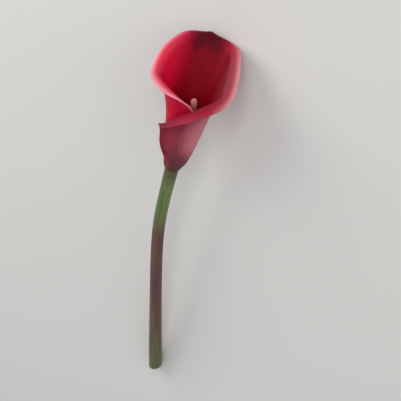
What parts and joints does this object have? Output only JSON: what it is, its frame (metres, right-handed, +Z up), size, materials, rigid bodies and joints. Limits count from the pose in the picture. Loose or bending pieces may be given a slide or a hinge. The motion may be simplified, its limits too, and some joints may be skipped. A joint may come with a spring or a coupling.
{
  "type": "arum lily flower",
  "caption": "Picked arum lily flower lying on its back: a dark red spathe rolled into a funnel round a peach pink spadix, on a long smooth stem, green near the flower and purple brown below.",
  "frame": {"origin": "middle of the underside of the whole flower's box, on the surface that it lies on", "axes": "+Z up, away from the surface; +Y along the stem towards the flower's mouth; +X to the flower's right as it faces up"},
  "size_m": [0.0558, 0.2536, 0.055],
  "materials": {
    "spathe": "velvety dark crimson inside, rose pink on the rolled rim, mauve red outside fading to brown green at the foot, fine lengthwise veins",
    "pollen_florets": "close set blunt florets, peach pink dusted with paler pollen",
    "ovary_florets": "round pale green ovaries with short styles, slightly glossy",
    "stem": "smooth waxy green skin with faint lengthwise streaks, olive brown at its very top and flushed purple brown lower down, pale wet cut end"
  },
  "bodies": {
    "root": {"spathe": "spathe", "spadix_pollen_zone": "pollen_florets", "spadix_ovary_zone": "ovary_florets", "stem": "stem"}
  },
  "joints": []
}
